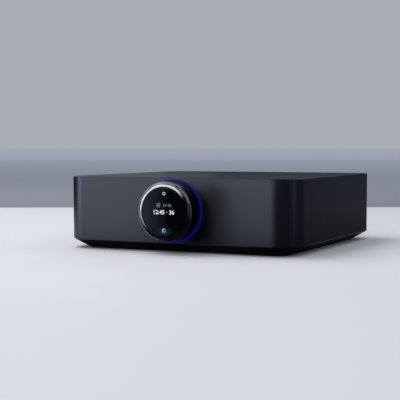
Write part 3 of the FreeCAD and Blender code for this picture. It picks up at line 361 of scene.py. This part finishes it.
def litSurface(name):  # a black surface that only shines
    return Finish(name, Base_Color=(0, 0, 0, 1), Specular_IOR_Level=0.2, Emission_Strength=1.0)


def litPrint(name, colour):  # display pixels that shine
    finish = litSurface(name)
    pixels = finish.noise(2600.0, 1.0)
    finish.feed("Emission Color", finish.mix(pixels, shade(colour, 0.92), shade(colour, 1.08)))
    finish.feed("Roughness", pixels * 0.1 + 0.25)
    return finish.material


shellGrey = (0.058, 0.064, 0.077)
finishes = {  # one for each slot: colour, roughness and mostly the size of the grain
    # the shell's face carries a painted glow round the dial
    "shell": blastedMetal("shellMetalPaintedGlow", shellGrey, 0.31, lit=True),
    "plinth": mouldedPlastic("plinthPlastic", (0.0014, 0.0016, 0.0024), 0.66, 0.7 * mm, level=0.05),
    "rubber": mouldedPlastic("footRubber", (0.012, 0.012, 0.013), 0.85, 0.4 * mm, level=0.3),
    "steel": plainMetal("zincSteel", (0.42, 0.42, 0.43), 0.34),
    "black_steel": plainMetal("blackSteel", (0.020, 0.020, 0.023), 0.40),
    "panel": blastedMetal("panelMetal", (0.020, 0.021, 0.024), 0.46, 0.3 * mm),
    "light_guide": frostedLight("lightGuide", (0.003, 0.004, 0.016), True),
    "board": boardMask("boardMask"),
    "lamp": frostedLight("lampLens", (0.10, 0.12, 0.40), False),
    "white_plastic": mouldedPlastic("whiteNylon", (0.60, 0.60, 0.57), 0.45, 0.6 * mm),
    "hub": turnedMetal("turnedHub", (0.40, 0.41, 0.43), 0.26, dialX, dialZ),
    "ring": dialMetal("ringMetal"),
    "bearing_steel": plainMetal("groundSteel", (0.55, 0.55, 0.56), 0.20),
    "cage": mouldedPlastic("cageNylon", (0.46, 0.42, 0.32), 0.5, 0.6 * mm),
    "magnet": mouldedPlastic("bondedFerrite", (0.045, 0.045, 0.050), 0.5, 0.3 * mm),
    "black_plastic": mouldedPlastic("blackPlastic", (0.014, 0.014, 0.016), 0.42, 0.6 * mm),
    "screen": blackGlass("screenGlass", 0.05),
    "glass": blackGlass("coverGlassBlack"),
    "gold": plainMetal("goldPlate", (0.83, 0.58, 0.22), 0.24, (700.0, 700.0, 700.0)),
    "tin": plainMetal("tinPlate", (0.56, 0.56, 0.55), 0.30),
    "cap_red": glossPlastic("capRed", (0.36, 0.010, 0.012)),
    "cap_black": glossPlastic("capBlack", (0.010, 0.010, 0.011)),
    "phono_white": glossPlastic("phonoWhite", (0.62, 0.62, 0.60)),
    "heatsink": blastedMetal("sinkMetal", (0.05, 0.05, 0.055), 0.42, 0.3 * mm),
    "chip": mouldedPlastic("chipEpoxy", (0.020, 0.020, 0.022), 0.6, 0.2 * mm),
    "ferrite": mouldedPlastic("ferrite", (0.040, 0.040, 0.045), 0.55, 0.3 * mm),
    "can": blastedMetal("canSleeve", (0.05, 0.06, 0.10), 0.34, 0.4 * mm),
    "winding": windingTape("windingTape"),
    "shield": plainMetal("shieldTin", (0.50, 0.50, 0.48), 0.30),
    "ribbon": flatCable("flatCable"),
}
print("finishes made:", len(finishes))

for part in frame["record"]["subparts"]:
    item = nodes[part["node"]]
    item.data.materials.clear()
    item.data.materials.append(finishes[part["material_slot"]])
    for polygon in item.data.polygons:
        polygon.material_index = 0
print("CAD nodes given their finishes")


# Tools for modelling
def only(item):  # selects one object and makes it active
    bpy.ops.object.select_all(action="DESELECT")
    item.select_set(True)
    bpy.context.view_layer.objects.active = item


def settle(item):  # puts the object's place, turn and size into its mesh
    only(item)
    bpy.ops.object.transform_apply(location=True, rotation=True, scale=True)


def attach(item, body, finish):
    item.data.materials.clear()
    item.data.materials.append(finish)
    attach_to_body(item, body)


def pick(item, test):  # goes into edit mode with the faces selected whose centre and normal pass the test
    only(item)
    bpy.ops.object.mode_set(mode="EDIT")
    bpy.ops.mesh.select_mode(type="FACE")
    bpy.ops.mesh.select_all(action="DESELECT")
    bpy.ops.object.mode_set(mode="OBJECT")
    for polygon in item.data.polygons:
        polygon.select = bool(test(polygon.center, polygon.normal))
    bpy.ops.object.mode_set(mode="EDIT")


def facesFront(centre, normal):
    return normal.y < -0.9


def hollow(item, line):  # takes the middle out of a flat face and leaves a border as wide as the line
    only(item)
    bpy.ops.object.mode_set(mode="EDIT")
    bpy.ops.mesh.select_all(action="SELECT")
    bpy.ops.mesh.inset(thickness=line)
    bpy.ops.mesh.delete(type="FACE")
    bpy.ops.object.mode_set(mode="OBJECT")


def joined(items, name):  # makes one object of several, in the first
    bpy.ops.object.select_all(action="DESELECT")
    for item in items:
        item.select_set(True)
    bpy.context.view_layer.objects.active = items[0]
    bpy.ops.object.join()
    items[0].name = name
    return items[0]


def flatDisc(radius, place, turn, sides=48):
    bpy.ops.mesh.primitive_circle_add(
        vertices=sides, radius=radius, fill_type="NGON", location=place, rotation=turn
    )
    item = bpy.context.object
    settle(item)
    return item


def flatRing(radius, line, place, turn):
    item = flatDisc(radius, place, turn)
    hollow(item, line)
    return item


def flatPlane(width, height, place, turn):
    bpy.ops.mesh.primitive_plane_add(size=1.0, location=place, rotation=turn)
    item = bpy.context.object
    item.scale = (width, height, 1)
    settle(item)
    return item


capitals = 0.72     # height of a capital letter or figure in Blender's own font, at size 1


def flatWords(words, height, bold, place, turn, steps):  # steps is how finely the letters' curves are cut
    bpy.ops.object.text_add()
    item = bpy.context.object
    item.data.body = words
    item.data.align_x, item.data.align_y = "CENTER", "CENTER"
    item.data.size = height / capitals
    item.data.offset = bold
    item.data.resolution_u = steps
    only(item)
    bpy.ops.object.convert(target="MESH")
    item = bpy.context.object
    item.rotation_euler = turn
    item.location = place
    settle(item)
    return item


def middle(name):  # x and z of the middle of a CAD node
    low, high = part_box(name)
    return (low.x + high.x) / 2, (low.z + high.z) / 2


towardsFront = (math.radians(90), 0, 0)
towardsBack = (math.radians(90), 0, math.radians(180))

# The cover glass: a flat black face over the display, and a polished edge that rolls off round it
glass = {
    "setback": 0.05 * mm,   # behind the glass's foremost plane, which leaves room for the lit marks
    "spread": 0.2 * mm,     # wider than the solid by this, so that the gap to the ring is a fine line
    "edge": (               # steps in and forwards, in millimetres
        (0.12, 0.20),
        (0.18, 0.20),
        (0.25, 0.20),
        (0.35, 0.20),
        (0.42, 0.16),
        (0.40, 0.12),
        (0.34, 0.08),
        (0.20, 0.03),
    ),
    "loop": 0.02 * mm,      # a tight loop that keeps the flat face flat
    "sides": 180,
    "edgeMetal": (0.36, 0.365, 0.385),
    "edgeRoughness": 0.07,
    "edgeRelief": 0.02,
    "edgeSlopes": (-0.997, -0.3),   # the polished faces' normals lie between these along Y
    "smooth": 20,           # degrees
}


def makeGlass():
    front = glassLow.y + glass["setback"]
    drop = sum(rise for inward, rise in glass["edge"]) * mm
    depth = glassHigh.y - front - drop
    bpy.ops.mesh.primitive_cylinder_add(
        vertices=glass["sides"],
        radius=glassRadius + glass["spread"],
        depth=depth,
        location=(dialX, glassHigh.y - depth / 2, dialZ),
        rotation=towardsFront,
    )
    item = bpy.context.object
    item.name = "coverGlass"
    settle(item)
    pick(item, facesFront)
    for inward, rise in glass["edge"]:  # from the side wall in to the flat face
        bpy.ops.mesh.inset(thickness=inward * mm, depth=rise * mm)
    bpy.ops.mesh.inset(thickness=glass["loop"])
    bpy.ops.object.mode_set(mode="OBJECT")
    attach(item, "case", finishes["glass"])
    colour, roughness, relief = glass["edgeMetal"], glass["edgeRoughness"], glass["edgeRelief"]
    item.data.materials.append(turnedMetal("glassEdge", colour, roughness, dialX, dialZ, strength=relief))
    facing, steep = glass["edgeSlopes"]
    for polygon in item.data.polygons:
        polygon.material_index = 1 if facing < polygon.normal.y < steep else 0
    only(item)
    bpy.ops.object.shade_smooth_by_angle(angle=math.radians(glass["smooth"]))
    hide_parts("cover_glass")


makeGlass()
print("cover glass made")

# What the display shows. Places are from the dial's middle, and lengths are in millimetres
display = {
    "face": glassLow.y + 0.02 * mm,              # the plane of the marks along Y, in metres
    "white": (0.80, 0.84, 0.90),
    "grey": (0.20, 0.22, 0.25),
    "soft": (0.46, 0.50, 0.56),
    "glow": (0.003, 0.020, 0.055),
    "topRing": (0.5, 15.3, 1.45, 0.70),          # x, z, radius and line width
    "bottomDisc": (0.5, -15.6, 1.95, 1.248),
    "bigRow": ("12:45 · 36", 0.1, -0.4, 3.6),    # words, x, z and letter height
    "bigBold": 0.08,
    "smallRow": ("24 96", 3.4, 5.4, 2.6),
    "steps": 3,
    "square": (-4.8, 5.6, 3.2, 0.45, 1.152),     # x, z, side, line width and the core's side
    "lens": (-15.5, 12.0, 3.6, 4.0),             # z, half width, rise and drop
    "lensGlow": (1.5, 1.5, 9.5),                 # its middle under z, and the radii where it fades and ends
    "lensTop": 0.25,                             # how bright its top is beside its foot
}
litFinishes = {
    "white": litPrint("litWhite", display["white"]),
    "soft": litPrint("litSoft", display["soft"]),
    "grey": litPrint("litGrey", display["grey"]),
}


def dialPlace(x, z):
    return Vector((dialX + x * mm, display["face"], dialZ + z * mm))


def lit(item, name, finish):
    item.name = name
    only(item)
    attach(item, "case", finish)


def litRing(name, x, z, radius, line, finish):
    lit(flatRing(radius * mm, line * mm, dialPlace(x, z), towardsFront), name, finish)


def litWords(name, words, x, z, height, bold, finish):
    item = flatWords(words, height * mm, bold * mm, dialPlace(x, z), towardsFront, display["steps"])
    lit(item, name, finish)


def litSquare(name, x, z, side, line, core, finish):
    border = flatPlane(side * mm, side * mm, dialPlace(x, z), towardsFront)
    hollow(border, line * mm)
    dot = flatPlane(core * mm, core * mm, dialPlace(x, z), towardsFront)
    lit(joined([border, dot], name), name, finish)


def litLens(name, z, half, rise, drop):  # the faint glow round the lower mark: two arcs that meet in points
    item = flatDisc(half * mm, dialPlace(0, z), towardsFront, 64)
    for vertex in item.data.vertices:
        share = (vertex.co.x - dialX) / (half * mm)
        reach = rise if vertex.co.z > dialZ + z * mm else -drop
        vertex.co.z = dialZ + (z + reach * (1 - share * share)) * mm
    under, bright, dark = display["lensGlow"]
    finish = litSurface("litGlow")
    away = finish.radius(dialX, dialZ + (z - under) * mm)
    near = finish.within(away, bright * mm, dark * mm, 1.0, 0.0)
    top, foot = dialZ + (z + rise) * mm, dialZ + (z - drop) * mm
    low = finish.within(finish.axis(2), top, foot, display["lensTop"], 1.0)
    finish.feed("Emission Color", finish.mix(near * low, (0, 0, 0, 1), shade(display["glow"])))
    finish.feed("Roughness", near * 0.1 + 0.25)
    lit(item, name, finish.material)


litRing("displayTopRing", *display["topRing"], litFinishes["soft"])
litWords("displayBigRow", *display["bigRow"], display["bigBold"], litFinishes["white"])
litWords("displaySmallRow", *display["smallRow"], 0.0, litFinishes["grey"])
litSquare("displaySquare", *display["square"], litFinishes["grey"])
litLens("displayGlow", *display["lens"])
litRing("displayBottomDisc", *display["bottomDisc"], litFinishes["soft"])
print("display marks made")

# Marks printed on the rear panel beside the sockets
rearMarks = {
    "ink": (0.50, 0.51, 0.53),
    "lift": 0.04 * mm,          # how far the ink stands off the panel
    "height": 2.9 * mm,         # of a digit or sign
    "bold": 0.06 * mm,
    "steps": 4,
    "belowPost": 10.4 * mm,
    "aboveSleeve": 3.9 * mm,
    "sleeveRadius": 4.15 * mm,
    "bracket": (19.0 * mm, 2.0 * mm, 0.3 * mm, 13.4 * mm),   # width, height, line and drop below the posts
    "ring": (3.5 * mm, 0.3 * mm),                            # radius and line, round the button
}
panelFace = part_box("rear_panel")[1].y


def rearPlace(x, z):
    return Vector((x, panelFace + rearMarks["lift"], z))


def printWords(words, x, z):
    height, bold, steps = rearMarks["height"], rearMarks["bold"], rearMarks["steps"]
    return flatWords(words, height, bold, rearPlace(x, z), towardsBack, steps)


def printBracket(x, z):  # a line with its ends turned up, under a pair of posts
    width, height, line, drop = rearMarks["bracket"]
    item = flatPlane(width, height, rearPlace(x, z - drop), towardsBack)
    hollow(item, line)
    topBar = z - drop + height / 2 - line
    pick(item, lambda centre, normal: centre.z > topBar)
    bpy.ops.mesh.delete(type="FACE")
    bpy.ops.object.mode_set(mode="OBJECT")
    return item


def makeRearMarks():
    marks = [flatRing(*rearMarks["ring"], rearPlace(*middle("pairing_button")), towardsBack)]
    for digit, side in (("1", "right"), ("2", "left")):
        plusX, postZ = middle("speaker_cap_" + side + "_positive")
        minusX, postZ = middle("speaker_cap_" + side + "_negative")
        signZ = postZ - rearMarks["belowPost"]
        marks.append(printWords("+", plusX, signZ))
        marks.append(printWords("–", minusX, signZ))
        marks.append(printWords(digit, (plusX + minusX) / 2, signZ))
        marks.append(printBracket((plusX + minusX) / 2, postZ))
    low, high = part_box("phono_sleeves")
    for digit, x in (("1", low.x + rearMarks["sleeveRadius"]), ("2", high.x - rearMarks["sleeveRadius"])):
        marks.append(printWords(digit, x, high.z + rearMarks["aboveSleeve"]))
    ink = mouldedPlastic("panelInk", rearMarks["ink"], 0.5, 0.2 * mm, 0.01 * mm, 0.3)
    attach(joined(marks, "rearMarks"), "case", ink)


makeRearMarks()
print("rear marks made")

# The network socket's sprung contacts, which slope in from its roof
contacts = {
    "count": 8,
    "pitch": 1.02 * mm,
    "width": 0.45 * mm,
    "thick": 0.22 * mm,
    "root": 1.6 * mm,       # length of the straight part that is held under the roof
    "roof": 2.1 * mm,       # the socket's wall over them
    "gap": 0.05 * mm,       # between the roof and the root
    "mouth": 2.2 * mm,      # how far in they start
    "bends": ((-0.6, -0.25), (-5.2, -3.0), (-0.5, -0.05), (-0.9, 0.7)),   # along Y and Z, in millimetres
    "bevel": 0.04 * mm,
}


def makeContacts():
    low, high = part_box("ethernet_socket")
    x = (low.x + high.x) / 2 - contacts["pitch"] * (contacts["count"] - 1) / 2
    y = high.y - contacts["mouth"] - contacts["root"] / 2
    z = high.z - contacts["roof"] - contacts["gap"] - contacts["thick"] / 2
    bpy.ops.mesh.primitive_cube_add(size=1.0, location=(x, y, z))
    item = bpy.context.object
    item.scale = (contacts["width"], contacts["root"], contacts["thick"])
    settle(item)
    pick(item, facesFront)
    for inward, upward in contacts["bends"]:
        bpy.ops.mesh.extrude_region_move(TRANSFORM_OT_translate={"value": (0, inward * mm, upward * mm)})
    bpy.ops.object.mode_set(mode="OBJECT")
    edge = item.modifiers.new("edge", "BEVEL")
    edge.width, edge.segments = contacts["bevel"], 1
    bpy.ops.object.modifier_apply(modifier="edge")
    strips = [item]
    for number in range(1, contacts["count"]):
        only(item)
        bpy.ops.object.duplicate()
        copy = bpy.context.object
        copy.location.x = contacts["pitch"] * number
        settle(copy)
        strips.append(copy)
    attach(joined(strips, "socketContacts"), "case", finishes["gold"])


makeContacts()
print("socket contacts made")

# The camera, at the photograph's viewing angle
view = {
    "place": (0.4007, -0.8811, 0.0907),
    "heading": 25.909,
    "fall": 2.99,
    "roll": -0.065,
    "lens": 92.58,
    "sensor": 36.0,
}


def outwards(heading, elevation):  # unit vector away from the object: heading 0 is its front, 90 its right
    around, up = math.radians(heading), math.radians(elevation)
    return Vector((math.sin(around) * math.cos(up), -math.cos(around) * math.cos(up), math.sin(up)))


def makeCamera():
    bpy.ops.object.camera_add(location=view["place"])
    camera = bpy.context.object
    camera.data.lens = view["lens"]
    camera.data.sensor_width = view["sensor"]
    ahead = -outwards(view["heading"], view["fall"])
    level = ahead.to_track_quat("-Z", "Y").to_matrix()
    roll = Matrix.Rotation(math.radians(view["roll"]), 3, "Z")
    camera.rotation_euler = (level @ roll).to_euler()
    bpy.context.scene.camera = camera


makeCamera()
print("camera placed")

# The stage: a pale floor, soft lamps, and cards that only reflections see
stage = {
    "world": (0.397, 0.413, 0.462),
    "table": (0.915, 0.92, 0.93),
    "tableSpread": 0.015,
    "edge": 0.56,               # of the table, as far behind the origin as the camera looks
    "blur": 0.004,              # to both sides of the edge
    "greyNearPaintedShade": (0.29, 0.30, 0.34),
    "greyFar": (0.86, 0.90, 1.0),
    "reach": 8.0,               # from the near grey, darkened as painted shade, to the far one
    "curve": 0.5,
    "size": 60.0,
    "cardTint": (1.0, 1.08, 1.4),
}
# Heading, elevation, distance, width, height, radiance, and True where only reflections see the softbox.
# The others light the surfaces, and no reflection shows them
softboxes = {
    "frontLeft": (-28.0, 24.0, 1.25, 1.0, 1.1, 1.14, True),
    "keyLeft": (-66.0, 30.0, 1.25, 0.80, 1.0, 1.25, True),
    "overhead": (-22.0, 43.0, 1.3, 1.4, 0.75, 0.55, True),
    "topSoft": (-84.0, 62.0, 1.2, 0.8, 0.8, 2.85, False),
    "frontFill": (0.0, 32.0, 1.5, 1.2, 0.9, 1.1, False),
    "rightFill": (100.0, 42.0, 1.3, 1.2, 1.0, 0.20, False),
}
# Centre, heading and tilt that the card faces, width, height and radiance
cards = {
    # close before the dial, for the glass: dark, and paler towards the left
    "midFront": ((-0.015, -0.20, 0.027), 0.0, 0.0, 0.046, 0.052, 0.0),
    "midFrontA": ((-0.042, -0.20, 0.027), 0.0, 0.0, 0.008, 0.052, 0.16),
    "midFrontB": ((-0.050, -0.20, 0.027), 0.0, 0.0, 0.008, 0.052, 0.36),
    "midFrontC": ((-0.058, -0.20, 0.027), 0.0, 0.0, 0.008, 0.052, 0.60),
    # for the dial's barrel and the right edge of its glass
    "dialRight": ((0.0245, -0.139, 0.034), -90.0, 0.0, 0.022, 0.050, 0.006),
    "dialCorner": ((0.0185, -0.150, 0.034), 0.0, 0.0, 0.012, 0.050, 0.004),
    "dialFloor": ((0.085, -0.22, 0.0011), 0.0, 90.0, 0.09, 0.22, 0.008),
    # the dim room before the front and round its right corner
    "frontGap": ((0.16, -1.10, 0.20), 4.0, 0.0, 0.32, 0.40, 0.03),
    "frontRight": ((0.62, -0.64, 0.45), 50.0, 0.0, 1.20, 0.90, 0.12),
    # the floor, as the dark metal shows it
    "rightFloor": ((0.56, -0.52, 0.0006), 0.0, 90.0, 0.98, 0.94, 0.05),
    "frontFloor": ((0.11, -0.70, 0.0004), 0.0, 90.0, 0.28, 0.70, 0.03),
    "nearFloor": ((-0.005, -0.175, 0.001), 0.0, 90.0, 0.15, 0.13, 0.008),
    "leftFloor": ((-0.12, -0.140, 0.0012), 0.0, 90.0, 0.10, 0.06, 0.02),
    # for the right side and its edges
    "ceilingRight": ((0.42, -0.30, 1.0), 0.0, 90.0, 0.84, 0.90, 0.02),
    "rightHigh": ((0.46, 0.20, 0.85), 120.0, 58.0, 0.70, 0.60, 0.45),
    "rightLow": ((1.0, -0.05, 0.22), 94.0, 0.0, 0.70, 0.50, 0.03),
    "rightStrip": ((0.45, -0.13, 0.12), 85.0, 0.0, 0.05, 0.24, 0.60),
    "side": ((0.235, 0.175, 0.14), 111.0, 0.0, 0.52, 0.28, 0.085),
    "floorSide": ((0.20, 0.10, 0.0005), 0.0, 90.0, 0.17, 0.50, 0.045),
    # the room behind, for the top
    "back": ((0.0, 0.5585, 0.15), -154.1, 0.0, 0.50, 0.30, 0.05),
    "backMid": ((-0.256, 0.434, 0.15), -154.1, 0.0, 0.07, 0.30, 0.11),
    "backLeft": ((-0.549, 0.292, 0.15), -154.1, 0.0, 0.58, 0.30, 0.19),
    "backHigh": ((0.0, 0.80, 0.50), 180.0, 24.0, 0.30, 0.16, 0.85),
    # for the left front corner
    "leftLow": ((-0.42, 0.04, 0.09), -108.0, 0.0, 0.42, 0.18, 0.01),
    "leftStrip": ((-0.895, -0.52, 0.16), -62.0, 0.0, 0.15, 0.32, 4.8),
    "leftHigh": ((-0.62, 0.22, 0.56), -116.0, 37.0, 0.70, 0.40, 0.8),
}


def makeWorld():
    world = bpy.data.worlds.new("room")
    bpy.context.scene.world = world
    world.use_nodes = True
    background = world.node_tree.nodes["Background"]
    background.inputs["Color"].default_value = shade(stage["world"])
    background.inputs["Strength"].default_value = 1.0


def makeFloor():  # a pale table top, and past its far edge the grey that it stands in front of, darkest next to the edge as painted shade where the backdrop meets the table
    bpy.ops.mesh.primitive_plane_add(size=stage["size"], location=(0, 0, 0))
    floor = bpy.context.object
    floor.name = "floor"
    finish = Finish("paleTable", Specular_IOR_Level=0.1, Roughness=0.7)
    depth = finish.vector("DOT_PRODUCT", finish.place, -outwards(view["heading"], 0.0), output=1)
    spread = stage["tableSpread"]
    cloud = finish.noise(3.0, 2.0, 0.5)
    table = finish.mix(cloud, shade(stage["table"], 1 - spread), shade(stage["table"], 1 + spread))
    # painted shade: the grey past the edge is darkest at the edge and lightens away from it
    reach = finish.within(depth, stage["edge"], stage["edge"] + stage["reach"]) ** stage["curve"]
    backdropPaintedShade = finish.mix(reach, shade(stage["greyNearPaintedShade"]), shade(stage["greyFar"]))
    past = finish.within(depth, stage["edge"] - stage["blur"], stage["edge"] + stage["blur"])
    finish.feed("Base Color", finish.mix(past, table, backdropPaintedShade))
    floor.data.materials.append(finish.material)


def makeSoftbox(name, heading, elevation, distance, width, height, radiance, reflected):
    away = outwards(heading, elevation)
    lamp = bpy.data.lights.new(name, "AREA")
    lamp.shape = "RECTANGLE"
    lamp.size, lamp.size_y = width, height
    lamp.energy = math.pi * width * height * radiance
    item = bpy.data.objects.new(name, lamp)
    bpy.context.scene.collection.objects.link(item)
    item.location = away * distance
    item.rotation_euler = away.to_track_quat("Z", "Y").to_euler()
    item.visible_glossy = reflected
    item.visible_diffuse = not reflected


def glossyOnly(item):
    item.visible_camera = item.visible_diffuse = item.visible_shadow = False
    item.visible_transmission = item.visible_volume_scatter = False


def cardFinish(name, radiance):
    material = bpy.data.materials.new(name)
    material.use_nodes = True
    tree = material.node_tree
    tree.nodes.clear()
    shine = tree.nodes.new("ShaderNodeEmission")
    shine.inputs["Color"].default_value = shade(stage["cardTint"], radiance)
    end = tree.nodes.new("ShaderNodeOutputMaterial")
    tree.links.new(shine.outputs[0], end.inputs[0])
    return material


def makeCard(name, centre, heading, tilt, width, height, radiance):
    turn = outwards(heading, tilt).to_track_quat("Z", "Y").to_euler()
    item = flatPlane(width, height, centre, turn)
    item.name = name + "Card"
    item.data.materials.append(cardFinish(name + "Card", radiance))
    glossyOnly(item)


makeWorld()
makeFloor()
for name, values in softboxes.items():
    makeSoftbox(name, *values)
for name, values in cards.items():
    makeCard(name, *values)
bpy.context.scene.view_settings.view_transform = "Standard"
print("stage set:", len(softboxes), "softboxes,", len(cards), "cards")
